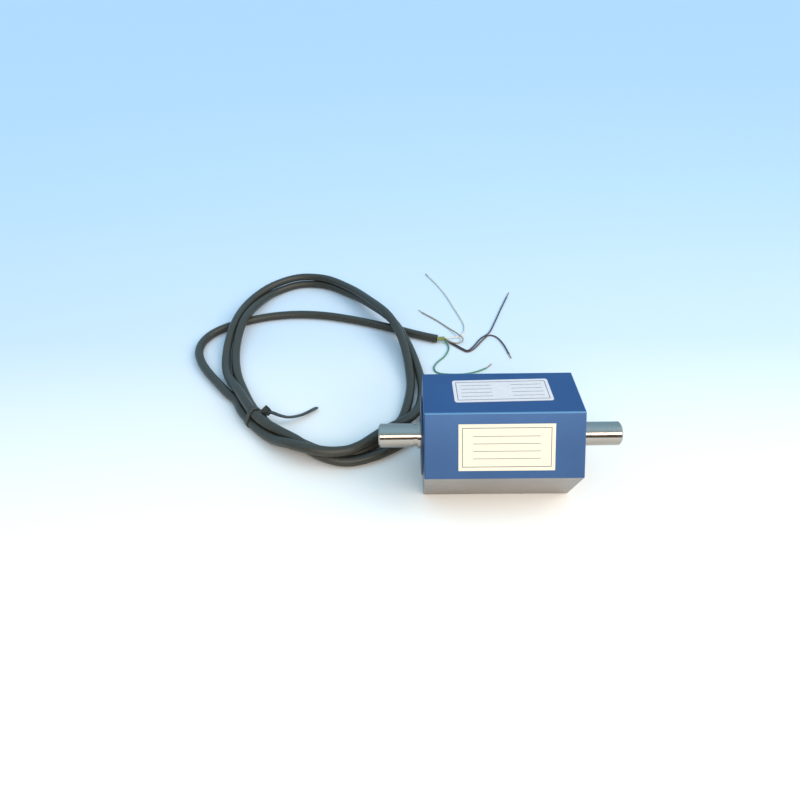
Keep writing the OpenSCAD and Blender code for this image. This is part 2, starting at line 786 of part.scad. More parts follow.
module gland_nut() {
    corner_r = gland_hex / 2 / cos(30);
    mouth_r = gland_bore_r + 1;
    skirt = gland_dome - gland_neck - nut_gap;
    color(steel) on_gland_axis() difference() {
        union() {
            translate([0, 0, gland_neck + nut_gap]) cylinder(r = corner_r, h = skirt, $fn = 6);
            translate([0, 0, gland_dome]) cylinder(r1 = gland_hex / 2, r2 = mouth_r, h = dome_height);
        }
        translate([0, 0, gland_neck])
            cylinder(d = gland_neck_dia + 2 * fit_gap, h = gland_dome - gland_neck);
        cylinder(r = gland_bore_r, h = 2 * across_flats);
    }
}

// Labels
module type_label() {
    color("lightsteelblue") translate([label_x, label_y, across_flats]) rotate(label_turn)
        linear_extrude(label_thickness) rounded_rect([label_length, label_width], label_radius);
}

module front_sticker() {
    color("white") translate([0, 0, axis_z]) rotate([60, 0, 0])
        translate([sticker_x - sticker_length / 2, -sticker_drop - sticker_width / 2, across_flats / 2])
            cube([sticker_length, sticker_width, sticker_thickness]);
}

// Cable
module cable(route) {
    color(black) sweep(route, round_profile(cable_dia / 2, cable_sides));
}

module core(route, tint) {
    color(tint) sweep(route, round_profile(core_dia / 2, core_sides));
}

module cable_lead() { cable(lead_route); }

module cable_tail() { cable(tail_route); }

// The outer shape of the coiled strands: a closed ring that rises where they lie on each other
module cable_coil() {
    n = len(coil_section);
    count = len(coil_stations) * coil_steps;
    rings = [
        for (k = [0:count - 1])
            let (u = k / coil_steps, s = coil_at(u), out = coil_outward(u))
            for (p = coil_section) [s[0] + p[0] * s[2] * out[0], s[1] + p[0] * s[2] * out[1], p[1] * s[3]]
    ];
    walls = [
        for (k = [0:count - 1], j = [0:n - 1])
            let (a = k * n, b = (k + 1) % count * n, i = (j + 1) % n)
            each [[a + j, a + i, b + i], [a + j, b + i, b + j]]
    ];
    color(black) polyhedron(rings, walls);
}

// A band drawn tight round the three strands
module round_bundle(r) {
    for (p = bundle) translate(p) circle(r = r);
    polygon([for (i = [0:2], a = [-90, 30]) bundle[i] + r * [cos(a + 120 * i), sin(a + 120 * i)]]);
}

module cable_tie() {
    at = coil_at(tie_station);
    out = coil_outward(tie_station);
    outer_r = tie_inner_r + tie_thickness;
    color(black) translate([at[0], at[1], 0]) rotate([90, 0, atan2(out[1], out[0])]) {
        linear_extrude(tie_width, center = true) difference() {
            round_bundle(outer_r);
            round_bundle(tie_inner_r);
        }
        translate(bundle[2]) rotate(tie_head_turn) translate([outer_r + tie_head * 0.4, 0, 0])
            cube([tie_head, tie_head, tie_head], center = true);
    }
    color(black) sweep(tie_tail_route, strip_profile(tie_width, tie_thickness));
}

module inner_sheath() {
    color("olivedrab") sweep(sheath_route, round_profile(sheath_dia / 2, cable_sides));
}

module core_white() { core(white_route, "gainsboro"); }

module core_tan() { core(tan_route, "tan"); }

module core_green() { core(green_route, "mediumseagreen"); }

module core_black() { core(black_route, black); }

module core_brown() { core(brown_route, "saddlebrown"); }

upper_housing();
lower_housing();
dowel_pins();
left_end_flange();
right_end_flange();
left_flange_screws();
right_flange_screws();
left_outer_ring();
right_outer_ring();
preload_spring();
stator_core();
stator_winding();
amplifier_board();
amplifier_parts();
board_screws();
gland_body();
gland_seal();
gland_nut();
type_label();
front_sticker();
measuring_shaft();
left_inner_ring();
right_inner_ring();
left_retaining_ring();
right_retaining_ring();
strain_gauges();
rotor_core();
rotor_winding();
rotor_board();
rotor_chips();
left_cage();
left_balls();
right_cage();
right_balls();
cable_lead();
cable_coil();
cable_tail();
cable_tie();
inner_sheath();
core_white();
core_tan();
core_green();
core_black();
core_brown();
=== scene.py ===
import math

import bmesh
import bpy
from mathutils import Matrix, Vector


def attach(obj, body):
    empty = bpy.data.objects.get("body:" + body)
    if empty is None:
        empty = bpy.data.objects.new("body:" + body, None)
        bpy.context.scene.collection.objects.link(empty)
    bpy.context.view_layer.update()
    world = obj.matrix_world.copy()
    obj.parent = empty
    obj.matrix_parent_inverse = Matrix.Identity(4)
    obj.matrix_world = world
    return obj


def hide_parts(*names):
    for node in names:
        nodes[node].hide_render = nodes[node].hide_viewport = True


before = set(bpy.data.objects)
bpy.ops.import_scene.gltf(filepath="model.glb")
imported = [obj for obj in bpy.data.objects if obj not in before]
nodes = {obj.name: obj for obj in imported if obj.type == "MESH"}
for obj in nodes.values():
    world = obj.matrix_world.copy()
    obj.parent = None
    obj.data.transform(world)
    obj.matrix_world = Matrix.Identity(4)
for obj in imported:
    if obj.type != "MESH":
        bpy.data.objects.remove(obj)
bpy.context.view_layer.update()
scene = bpy.context.scene
scene.view_settings.view_transform = "Standard"
mm = 0.001
up = Vector((0, 0, 1))


def inMetres(points):
    return [Vector(p) * mm for p in points]


def tint(r, g, b):  # screen colour, 0 to 255, to linear light
    def one(c):
        c /= 255
        return c / 12.92 if c <= 0.04045 else ((c + 0.055) / 1.055) ** 2.4
    return one(r), one(g), one(b), 1.0


def addObject(name, data):
    obj = bpy.data.objects.new(name, data)
    scene.collection.objects.link(obj)
    return obj


# camera at the photograph's viewpoint
cameraSet = {
    "place": (-64.67, -321.98, 324.38), "yaw": -1.209, "pitch": 37.893, "roll": -1.383,
    "sensor": 36, "lens": 25.63, "nearest": 10 * mm,
}


def placeCamera(s):
    yaw, pitch, roll = (math.radians(s[k]) for k in ("yaw", "pitch", "roll"))
    ahead = Vector((math.sin(yaw) * math.cos(pitch), math.cos(yaw) * math.cos(pitch), -math.sin(pitch)))
    level = Vector((math.cos(yaw), -math.sin(yaw), 0))
    upright = level.cross(ahead)
    right = math.cos(roll) * level + math.sin(roll) * upright
    over = math.cos(roll) * upright - math.sin(roll) * level
    data = bpy.data.cameras.new("camera")
    data.sensor_fit, data.sensor_width = "HORIZONTAL", s["sensor"]
    data.lens, data.clip_start = s["lens"], s["nearest"]
    obj = addObject("camera", data)
    turn = Matrix((right, over, -ahead)).transposed().to_4x4()
    obj.matrix_world = Matrix.Translation(Vector(s["place"]) * mm) @ turn
    scene.camera = obj


placeCamera(cameraSet)
print("camera placed")


# node helpers for the finishes
def addNode(tree, kind, links=None, **values):
    node = tree.nodes.new(kind)
    for key, value in values.items():
        setattr(node, key, value)
    for key, source in (links or {}).items():
        socket = node.inputs[key]
        if isinstance(source, bpy.types.NodeSocket):
            tree.links.new(source, socket)
        else:
            socket.default_value = source
    return node


def newFinish(name, roughness, metallic=0.0):
    mat = bpy.data.materials.new(name)
    mat.use_nodes = True
    shader = mat.node_tree.nodes["Principled BSDF"]
    shader.inputs["Roughness"].default_value = roughness
    shader.inputs["Metallic"].default_value = metallic
    return mat, mat.node_tree, shader


noiseSpan = (0.3, 0.7)  # most values of a noise lie between these


def addNoise(tree, scale, detail, stretch=(1, 1, 1)):
    place = addNode(tree, "ShaderNodeTexCoord")
    mapping = addNode(tree, "ShaderNodeMapping", {"Vector": place.outputs["Object"], "Scale": stretch})
    noise = addNode(tree, "ShaderNodeTexNoise", {
        "Vector": mapping.outputs["Vector"], "Scale": scale, "Detail": detail})
    return noise.outputs["Fac"]


def addRamp(tree, factor, stops):
    ramp = addNode(tree, "ShaderNodeValToRGB", {"Fac": factor})
    while len(ramp.color_ramp.elements) < len(stops):
        ramp.color_ramp.elements.new(0.5)
    for element, (at, colour) in zip(ramp.color_ramp.elements, stops):
        element.position, element.color = at, colour
    return ramp.outputs["Color"]


def addRange(tree, factor, low, high, span=noiseSpan):
    node = addNode(tree, "ShaderNodeMapRange", {
        "Value": factor, "From Min": span[0], "From Max": span[1], "To Min": low, "To Max": high})
    return node.outputs["Result"]


def splitCoords(tree, kind):
    place = addNode(tree, "ShaderNodeTexCoord")
    return addNode(tree, "ShaderNodeSeparateXYZ", {"Vector": place.outputs[kind]}).outputs


def addTones(tree, noise, dark, light):
    return addRamp(tree, noise, list(zip(noiseSpan, (dark, light))))


def addRelief(tree, shader, noise, roughness, s):  # roughness and bump from one noise
    rough = addRange(tree, noise, roughness - s["smoother"], roughness + s["rougher"])
    bump = addNode(tree, "ShaderNodeBump", {"Height": noise, "Strength": s["bump"], "Distance": s["depth"]})
    tree.links.new(rough, shader.inputs["Roughness"])
    tree.links.new(bump.outputs["Normal"], shader.inputs["Normal"])


# thin light line painted along the block's long top edges: a painted highlight where the edge chamfer catches
# the light
edgeHighlightSet = {"side": 22.5 * mm, "top": 79.1 * mm, "fade": 0.3 * mm, "colour": tint(96, 138, 174)}


# mixes a painted highlight colour into the base colour along the long top edges
def addPaintedEdgeHighlight(tree, colour, s):
    parts = splitCoords(tree, "Object")
    side = addNode(tree, "ShaderNodeMath", {0: parts["Y"]}, operation="ABSOLUTE")
    out = addRange(tree, side.outputs[0], 0, 1, (s["side"], s["side"] + s["fade"]))
    high = addRange(tree, parts["Z"], 0, 1, (s["top"], s["top"] + s["fade"]))
    line = addNode(tree, "ShaderNodeMath", {0: out, 1: high}, operation="MULTIPLY")
    highlit = addNode(tree, "ShaderNodeMixRGB", {
        "Fac": line.outputs[0], "Color1": colour, "Color2": s["colour"]})
    return highlit.outputs["Color"]


# blasted or drawn skin under the dye
anodisedSet = {"cloud": 22, "grain": 900, "smoother": 0.06, "rougher": 0.08, "bump": 0.12, "depth": 0.00008}


def anodisedFinish(name, dark, light, roughness, metallic, stretch=(1, 1, 1), edgeHighlight=None):
    s = anodisedSet
    mat, tree, shader = newFinish(name, roughness, metallic)
    colour = addTones(tree, addNoise(tree, s["cloud"], 3), dark, light)
    # the painted edge highlight, when given, is laid over the base colour
    tree.links.new(addPaintedEdgeHighlight(tree, colour, edgeHighlight) if edgeHighlight else colour, shader.inputs["Base Color"])
    addRelief(tree, shader, addNoise(tree, s["grain"], 5, stretch), roughness, s)
    return mat


# fine rings from turning and grinding round X
machinedSet = {
    "cloud": 60, "cloudStretch": (0.3, 1, 1), "ringStretch": (1, 0.02, 0.02),
    "smoother": 0.05, "rougher": 0.07, "bump": 0.15, "depth": 0.00003,
}


def machinedFinish(name, dark, light, roughness, rings, bump=machinedSet["bump"]):
    s = {**machinedSet, "bump": bump}
    mat, tree, shader = newFinish(name, roughness, 1.0)
    cloud = addNoise(tree, s["cloud"], 3, s["cloudStretch"])
    tree.links.new(addTones(tree, cloud, dark, light), shader.inputs["Base Color"])
    addRelief(tree, shader, addNoise(tree, rings, 6, s["ringStretch"]), roughness, s)
    return mat


def speckledFinish(name, dark, light, roughness, scale, metallic=0.0, bump=0.15, depth=0.00006):
    s = {"smoother": 0.05, "rougher": 0.07, "bump": bump, "depth": depth}
    mat, tree, shader = newFinish(name, roughness, metallic)
    speckle = addNoise(tree, scale, 5)
    tree.links.new(addTones(tree, speckle, dark, light), shader.inputs["Base Color"])
    addRelief(tree, shader, speckle, roughness, s)
    return mat


# way of making, dark and light tone, roughness; then metal, grain and painted edge highlight when anodised,
# rings and bump when machined, and grain, metal, bump and depth when speckled
finishSet = {
    # the blue housing carries the painted highlight line along its top edges
    "blueAnodised": (anodisedFinish, (51, 85, 132), (58, 93, 141), 0.40, 0.6, (1, 1, 1), edgeHighlightSet),
    "plainAluminium": (anodisedFinish, (140, 136, 134), (152, 148, 145), 0.42, 0.6, (0.1, 1, 1)),
    # a darker copy of the housing's blue: painted shade of the end faces, which turn away from the key light
    "navyAnodised": (anodisedFinish, (38, 56, 82), (46, 66, 94), 0.38, 0.5),
    "groundSteel": (machinedFinish, (166, 157, 148), (174, 165, 156), 0.15, 2600, 0.03),
    "screwSteel": (machinedFinish, (120, 120, 122), (145, 145, 147), 0.32, 3000),
    "bearingSteel": (machinedFinish, (188, 190, 193), (202, 204, 206), 0.16, 3000),
    "cageBrass": (speckledFinish, (176, 138, 64), (196, 158, 84), 0.34, 500, 1.0),
    "nickelBrass": (machinedFinish, (178, 174, 164), (196, 191, 180), 0.28, 1800),
    "ferrite": (speckledFinish, (48, 48, 51), (66, 66, 70), 0.62, 1400),
    "copperWire": (speckledFinish, (176, 106, 62), (205, 134, 84), 0.32, 1500, 1.0),
    "circuitBoard": (speckledFinish, (24, 78, 44), (34, 98, 58), 0.34, 260),
    "chipBlack": (speckledFinish, (32, 32, 33), (46, 46, 48), 0.55, 900),
    "gaugeFilm": (speckledFinish, (186, 122, 44), (206, 146, 66), 0.30, 700),
    "sealRubber": (speckledFinish, (26, 27, 28), (38, 39, 40), 0.70, 900),
    "silverFilm": (speckledFinish, (223, 211, 211), (231, 219, 219), 0.34, 420, 0.25, 0.05),
    "whitePaper": (speckledFinish, (219, 210, 190), (226, 217, 198), 0.62, 1300, 0.0, 0.12),
    "cableJacket": (speckledFinish, (45, 44, 37), (57, 55, 46), 0.42, 420, 0.0, 0.20, 0.0001),
    "tieNylon": (speckledFinish, (44, 44, 40), (56, 56, 51), 0.38, 700),
    "sheathGreen": (speckledFinish, (106, 118, 58), (130, 138, 72), 0.45, 700),
    "coreWhite": (speckledFinish, (212, 204, 190), (228, 221, 208), 0.42, 900),
    "coreTan": (speckledFinish, (152, 138, 118), (172, 156, 134), 0.42, 900),
    "coreGreen": (speckledFinish, (62, 120, 86), (82, 140, 104), 0.42, 900),
    "coreBlack": (speckledFinish, (42, 41, 38), (56, 54, 50), 0.42, 900),
    "coreBrown": (speckledFinish, (68, 53, 46), (86, 69, 60), 0.42, 900),
    "ruleInk": (speckledFinish, (74, 76, 94), (96, 98, 116), 0.5, 900),
}
finishes = {}
for finishName, (make, dark, light, *others) in finishSet.items():
    finishes[finishName] = make(finishName, tint(*dark), tint(*light), *others)
print("finishes made:", len(finishes))

nodeFinish = {
    "upper_housing": "blueAnodised", "lower_housing": "plainAluminium", "dowel_pins": "groundSteel",
    # end flanges get the darker blue with painted shade
    "left_end_flange": "navyAnodised", "right_end_flange": "navyAnodised",
    "left_flange_screws": "screwSteel", "right_flange_screws": "screwSteel",
    "left_outer_ring": "bearingSteel", "right_outer_ring": "bearingSteel",
    "left_inner_ring": "bearingSteel", "right_inner_ring": "bearingSteel",
    "left_balls": "bearingSteel", "right_balls": "bearingSteel",
    "left_cage": "cageBrass", "right_cage": "cageBrass",
    "left_retaining_ring": "screwSteel", "right_retaining_ring": "screwSteel", "preload_spring": "screwSteel",
    "measuring_shaft": "groundSteel", "strain_gauges": "gaugeFilm",
    "rotor_core": "ferrite", "stator_core": "ferrite",
    "rotor_winding": "copperWire", "stator_winding": "copperWire",
    "rotor_board": "circuitBoard", "amplifier_board": "circuitBoard",
    "rotor_chips": "chipBlack", "amplifier_parts": "chipBlack", "board_screws": "screwSteel",
    "gland_body": "nickelBrass", "gland_nut": "nickelBrass", "gland_seal": "sealRubber",
    "type_label": "silverFilm", "front_sticker": "whitePaper", "inner_sheath": "sheathGreen",
}
for nodeName, finishName in nodeFinish.items():
    slots = nodes[nodeName].data.materials
    slots.clear()
    slots.append(finishes[finishName])


# cable: from the gland, twice round the oval coil and a third time past the tie, then the tail
lie = 4.25  # height of the cable's centre where it lies on the floor
cableSet = {
    "diameter": 8.5 * mm, "steps": 5, "roundness": 6, "exit": (28, 48.1, 12.2),
    "lead": [
        (28, 43.3, 15), (28, 54, 8.85), (28, 64, 5.3), (28, 76, lie), (25, 92, lie), (17, 105.5, lie),
        (5, 114.5, lie), (-9, 117.5, lie), (-23, 114.5, lie), (-35, 105.5, lie), (-43, 92, lie),
        (-46.5, 76, lie), (-49, 60.5, lie), (-56, 46.5, lie), (-67, 34.5, lie), (-80, 24, lie),
        (-94, 15.5, lie),
    ],
    "stations": [
        (-115, 14), (-128, 14), (-142, 20), (-157, 28), (-173, 38), (-187, 49), (-200, 62), (-211, 77),
        (-221, 93), (-239, 135), (-249, 177), (-251, 222), (-245, 269), (-228, 306), (-200, 327),
        (-169, 323), (-135, 297), (-109, 262), (-83, 216), (-67, 173), (-59, 120), (-59, 97), (-62, 77),
        (-68, 61), (-77, 48), (-87, 37), (-96, 27), (-104, 19),
    ],
    # each strand's offset outwards and height at the stations
    "first": [
        (5, 4.5), (4, 6.5), (4, 9), (1, 11.5), (0.2, 12), (0.8, 12.6), (0.5, 13.3), (-0.5, 13),
        (-1, 12), (4.2, 6), (3.7, 8), (2.8, 13.2), (3.4, 11.6), (1.6, 12.3), (1.7, 12.4), (2, 12.7),
        (0, 13.4), (-2, 17.2), (-2.5, 20.6), (-3.5, 14), (-4.5, 5), (-5.5, lie), (-5.5, lie),
        (-3.5, lie), (-2, lie), (-1, lie), (-0.5, lie), (-2.5, lie),
    ],
    "second": [
        (-4, lie), (-4.5, lie), (-3.5, lie), (-4, lie), (-4.7, lie), (-4.5, 4.7), (-4.5, 5.6), (-5, 5),
        (-6, 4.5), (-5, 4.5), (-5.2, 7.5), (-6, 13.2), (-6.5, 9.3), (-3, 5), (-1.5, lie), (0.5, lie),
        (0.5, 4.8), (1, 8.8), (2, 12.9), (2.5, 8), (5.5, 4.5), (6, 4.5), (6, 6.5), (5, 9.5), (3, 12),
        (1, 13), (0, 12.8), (-0.5, 12.6),
    ],
    "third": [
        (1, 13), (4.5, 15), (9, 16.5), (10, 15), (8.3, 9), (6.3, 6.2), (5, 5.6), (5, 5), (4, lie),
    ],
    "tail": [
        (-236.5, 104, lie), (-249, 119.5, lie), (-262.5, 136.5, lie), (-274.5, 155, lie),
        (-282.5, 174, lie), (-284, 191.5, lie), (-279.5, 207.5, lie), (-269.5, 221, lie),
        (-255.5, 231.5, lie), (-239, 240, lie), (-221, 246.5, lie), (-200, 250, lie), (-180, 250, lie),
        (-160, 247, lie), (-142, 242, lie), (-125, 236, lie), (-109, 229.5, lie), (-94, 222.5, lie),
        (-80, 216, lie), (-65, 208, lie), (-50, 200.5, lie), (-35, 194, lie),
    ],
}


def curvePoint(a, b, c, d, t):  # centripetal curve, smooth also where points are unevenly spaced
    k = [0]
    for p, q in ((a, b), (b, c), (c, d)):
        k.append(k[-1] + (q - p).length ** 0.5)
    x = k[1] + (k[2] - k[1]) * t

    def mix(p, q, m, n):
        return p * ((n - x) / (n - m)) + q * ((x - m) / (n - m))

    ab, bc, cd = mix(a, b, k[0], k[1]), mix(b, c, k[1], k[2]), mix(c, d, k[2], k[3])
    return mix(mix(ab, bc, k[0], k[2]), mix(bc, cd, k[1], k[3]), k[1], k[2])


def smoothPath(points, steps):
    points = [Vector(p) for p in points]
    ends = [2 * points[0] - points[1]] + points + [2 * points[-1] - points[-2]]
    path = []
    for a, b, c, d in zip(ends, ends[1:], ends[2:], ends[3:]):
        path += [curvePoint(a, b, c, d, k / steps) for k in range(steps)]
    return path + [points[-1]]


def outward(s, i):
    before, after = (Vector(s["stations"][(i + k) % len(s["stations"])]) for k in (-1, 1))
    run = (after - before).normalized()
    return Vector((-run.y, run.x))


def strandPoint(s, i, offset, height):
    spot = Vector(s["stations"][i]) + offset * outward(s, i)
    return spot.x, spot.y, height


def cableRoute(s):
    route = list(s["lead"])
    for turn in ("first", "second", "third"):
        route += [strandPoint(s, i, offset, height) for i, (offset, height) in enumerate(s[turn])]
    return inMetres(smoothPath(route + s["tail"], s["steps"]))


def pathLength(path):
    return sum((b - a).length for a, b in zip(path, path[1:]))


def roundCord(name, path, radius, finish, roundness):
    data = bpy.data.curves.new(name, "CURVE")
    data.dimensions, data.use_fill_caps = "3D", True
    data.bevel_depth, data.bevel_resolution = radius, roundness
    spline = data.splines.new("POLY")
    spline.points.add(len(path) - 1)
    for point, at in zip(spline.points, path):
        point.co = (*at, 1)
    spline.use_smooth = True
    data.materials.append(finishes[finish])
    return addObject(name, data)


cablePath = cableRoute(cableSet)
signalCable = roundCord(
    "signalCable", cablePath, cableSet["diameter"] / 2, "cableJacket", cableSet["roundness"])
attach(signalCable, "housing")
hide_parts("cable_lead", "cable_coil", "cable_tail")
print("cable laid, length", round(pathLength(cablePath), 3))


# the stripped end: five cores and their bare strands
coreSet = {
    "diameter": 1.5 * mm, "steps": 4, "roundness": 3,
    "bare": 7 * mm, "strandRadius": 0.17 * mm, "layRadius": 0.34 * mm, "twist": 7.0,
    "white": ("coreWhite", "core_white", [
        (-27, 196.3, 3.9), (-20, 200, 2), (-11, 203, 0.8), (-5, 212, 0.8), (-3, 225, 0.8), (-6, 243, 0.8),
        (-12, 268, 0.8), (-19, 297, 0.8), (-30, 330, 0.8), (-42, 358, 0.8)]),
    "tan": ("coreTan", "core_tan", [
        (-27, 194.4, 5), (-21, 190.5, 3), (-15, 188, 2.4), (-9, 190, 2.4), (-7, 197, 2.4), (-11, 205, 2.6),
        (-21, 222, 0.8), (-34, 240, 0.8), (-47, 255, 0.8), (-53, 263, 0.8)]),
    "green": ("coreGreen", "core_green", [
        (-27, 193.6, 2.9), (-24, 188, 1.2), (-23, 181, 0.8), (-28, 166, 0.8), (-36, 155, 0.8), (-40, 145, 0.8),
        (-37, 137, 0.8), (-26, 134, 0.8), (-6, 135, 0.8), (12, 144, 0.8), (18, 151, 0.8)]),
    "black": ("coreBlack", "core_black", [
        (-27, 195.6, 2.5), (-18, 190, 0.8), (-9, 180, 0.8), (-4, 176, 0.8), (2, 182, 0.8), (12, 199, 0.8),
        (22, 210, 0.8), (31, 232, 0.8), (41, 260, 0.8), (57, 303, 0.8)]),
    "brown": ("coreBrown", "core_brown", [
        (-27, 196.8, 2.4), (-18, 187.4, 0.8), (-9, 177.5, 0.8), (-4, 173.6, 0.8), (3, 179, 0.8), (14, 196, 0.8),
        (22, 205.5, 0.8), (28, 203, 0.8), (34, 190, 0.8), (39, 161, 0.8)]),
}


def newTree(name, inputs):
    tree = bpy.data.node_groups.new(name, "GeometryNodeTree")
    tree.interface.new_socket(name="Geometry", in_out="INPUT", socket_type="NodeSocketGeometry")
    keys = {}
    for label, kind, value in inputs:
        socket = tree.interface.new_socket(name=label, in_out="INPUT", socket_type="NodeSocket" + kind)
        if value is not None:
            socket.default_value = value
        keys[label] = socket.identifier
    tree.interface.new_socket(name="Geometry", in_out="OUTPUT", socket_type="NodeSocketGeometry")
    start, end = tree.nodes.new("NodeGroupInput"), tree.nodes.new("NodeGroupOutput")
    return tree, start, end, keys


def endTree(tree, end, geometry, finish):  # makes instances real and gives them their finish
    whole = addNode(tree, "GeometryNodeRealizeInstances", {"Geometry": geometry})
    painted = addNode(tree, "GeometryNodeSetMaterial", {
        "Geometry": whole.outputs["Geometry"], "Material": finish})
    tree.links.new(painted.outputs["Geometry"], end.inputs["Geometry"])


def growMesh(obj, tree, keys, settings):  # runs the tree once and keeps its result as a plain mesh
    modifier = obj.modifiers.new(tree.name, "NODES")
    modifier.node_group = tree
    for label, value in settings.items():
        modifier[keys[label]] = value
    bpy.context.view_layer.update()
    grown = bpy.data.meshes.new_from_object(obj.evaluated_get(bpy.context.evaluated_depsgraph_get()))
    obj.modifiers.remove(modifier)
    obj.data = grown
    return obj


def polyline(name, path):
    data = bpy.data.meshes.new(name)
    data.from_pydata([tuple(p) for p in path], [(i, i + 1) for i in range(len(path) - 1)], [])
    return addObject(name, data)


def strandTree():
    tree, start, end, keys = newTree("bareStrands", [
        ("Strand Radius", "Float", 0.00018), ("Lay Radius", "Float", 0.00036), ("Twist", "Float", 9.0),
        ("Finish", "Material", None)])
    out = start.outputs
    curve = addNode(tree, "GeometryNodeMeshToCurve", {"Mesh": out["Geometry"]})
    share = addNode(tree, "GeometryNodeSplineParameter")
    tilt = addNode(tree, "ShaderNodeMath", {0: share.outputs["Factor"], 1: out["Twist"]}, operation="MULTIPLY")
    twisted = addNode(tree, "GeometryNodeSetCurveTilt", {
        "Curve": curve.outputs["Curve"], "Tilt": tilt.outputs[0]})
    ring = addNode(tree, "GeometryNodeCurvePrimitiveCircle", {"Resolution": 6, "Radius": out["Lay Radius"]})
    wire = addNode(tree, "GeometryNodeCurvePrimitiveCircle", {"Resolution": 8, "Radius": out["Strand Radius"]})
    around = addNode(tree, "GeometryNodeInstanceOnPoints",
                     {"Points": ring.outputs["Curve"], "Instance": wire.outputs["Curve"]})
    real = addNode(tree, "GeometryNodeRealizeInstances", {"Geometry": around.outputs["Instances"]})
    profile = addNode(tree, "GeometryNodeJoinGeometry")
    tree.links.new(real.outputs["Geometry"], profile.inputs[0])
    tree.links.new(wire.outputs["Curve"], profile.inputs[0])
    skin = addNode(tree, "GeometryNodeCurveToMesh", {
        "Curve": twisted.outputs["Curve"], "Profile Curve": profile.outputs["Geometry"], "Fill Caps": True})
    endTree(tree, end, skin.outputs["Mesh"], out["Finish"])
    return tree, keys


def splitPath(path, tailLength):  # the covered stretch and the bare stretch of a core
    left, cut = tailLength, len(path) - 1
    while left > 0 and cut > 1:
        left -= (path[cut] - path[cut - 1]).length
        cut -= 1
    return path[:cut + 1], path[cut:]


strandNodes, strandKeys = strandTree()
for coreName in ("white", "tan", "green", "black", "brown"):
    finishName, nodeName, points = coreSet[coreName]
    wholePath = inMetres(smoothPath(points, coreSet["steps"]))
    covered, bare = splitPath(wholePath, coreSet["bare"])
    cord = roundCord(coreName + "Core", covered, coreSet["diameter"] / 2, finishName, coreSet["roundness"])
    strands = growMesh(polyline(coreName + "Strands", bare), strandNodes, strandKeys, {
        "Strand Radius": coreSet["strandRadius"], "Lay Radius": coreSet["layRadius"], "Twist": coreSet["twist"],
        "Finish": finishes["copperWire"]})
    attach(cord, "housing")
    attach(strands, "housing")
    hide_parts(nodeName)


# cable tie: strap round three strands, head, and the strap's long end
tieSet = {
    "station": 6, "bundle": [(4.6, 5.6), (0, 13.57), (-4.6, 5.6)],  # strands as offset and height
    "inner": 4.35, "arcSteps": 8, "width": 4.6, "thickness": 1.2, "nip": 0.22,
    "head": 6.4, "headTurn": 155, "headReach": 8.1, "headTaper": (0.86, 0.9), "headBevel": 0.6,
    "mouthRim": 1.0, "mouthDepth": 1.4,
    "end": [
        (-190, 66.5, 10.5), (-185, 64, 11.5), (-179, 62.5, 9.8), (-171.5, 63, 7), (-161, 69.5, 4),
        (-149, 82.5, 1.9),
    ],
    "endSteps": 8, "roll": -18,
    "toothed": slice(4, -3), "toothPitch": 1.1, "toothLength": 0.5, "toothShare": 0.6, "toothHeight": 0.22,
}


def meshPiece(name, mesh, finish):
    bmesh.ops.recalc_face_normals(mesh, faces=mesh.faces)
    data = bpy.data.meshes.new(name)
    mesh.to_mesh(data)
    mesh.free()
    data.materials.append(finishes[finish])
    return addObject(name, data)


def joinLoops(mesh, a, b):  # a band of faces between two closed loops of points
    for j in range(len(a)):
        k = (j + 1) % len(a)
        mesh.faces.new((a[j], a[k], b[k], b[j]))


def strapMesh(name, path, sides, s, closed):
    mesh = bmesh.new()
    width, thickness = s["width"] * mm, s["thickness"] * mm
    half, deep, nip = width / 2, thickness / 2, thickness * s["nip"]
    outline = [(-half + nip, -deep), (half - nip, -deep), (half, -deep + nip), (half, deep - nip),
               (half - nip, deep), (-half + nip, deep), (-half, deep - nip), (-half, -deep + nip)]
    rings, count = [], len(path)
    for i, at in enumerate(path):
        before = path[(i - 1) % count] if closed else path[max(i - 1, 0)]
        after = path[(i + 1) % count] if closed else path[min(i + 1, count - 1)]
        run = (after - before).normalized()
        side = sides[i]
        face = side.cross(run).normalized()
        rings.append([mesh.verts.new(at + side * u + face * v) for u, v in outline])
    pairs = list(zip(rings, rings[1:])) + ([(rings[-1], rings[0])] if closed else [])
    for a, b in pairs:
        joinLoops(mesh, a, b)
    if not closed:
        mesh.faces.new(rings[0])
        mesh.faces.new(rings[-1])
    return meshPiece(name, mesh, "tieNylon")


def tieFrame(s):
    spot, out = Vector(cableSet["stations"][s["station"]]), outward(cableSet, s["station"])
    across = out.to_3d()
    return spot.to_3d(), across, up.cross(across)


def tieLoop(s):
    spot, across, along = tieFrame(s)
    radius = s["inner"] + s["thickness"] / 2
    path = []
    for i, (offset, height) in enumerate(s["bundle"]):  # round the outer side of each strand in turn
        for k in range(s["arcSteps"] + 1):
            angle = math.radians(120 * (i + k / s["arcSteps"]) - 90)
            path.append((spot + across * (offset + radius * math.cos(angle))
                         + up * (height + radius * math.sin(angle))) * mm)
    return strapMesh("tieStrap", path, [along] * len(path), s, True)


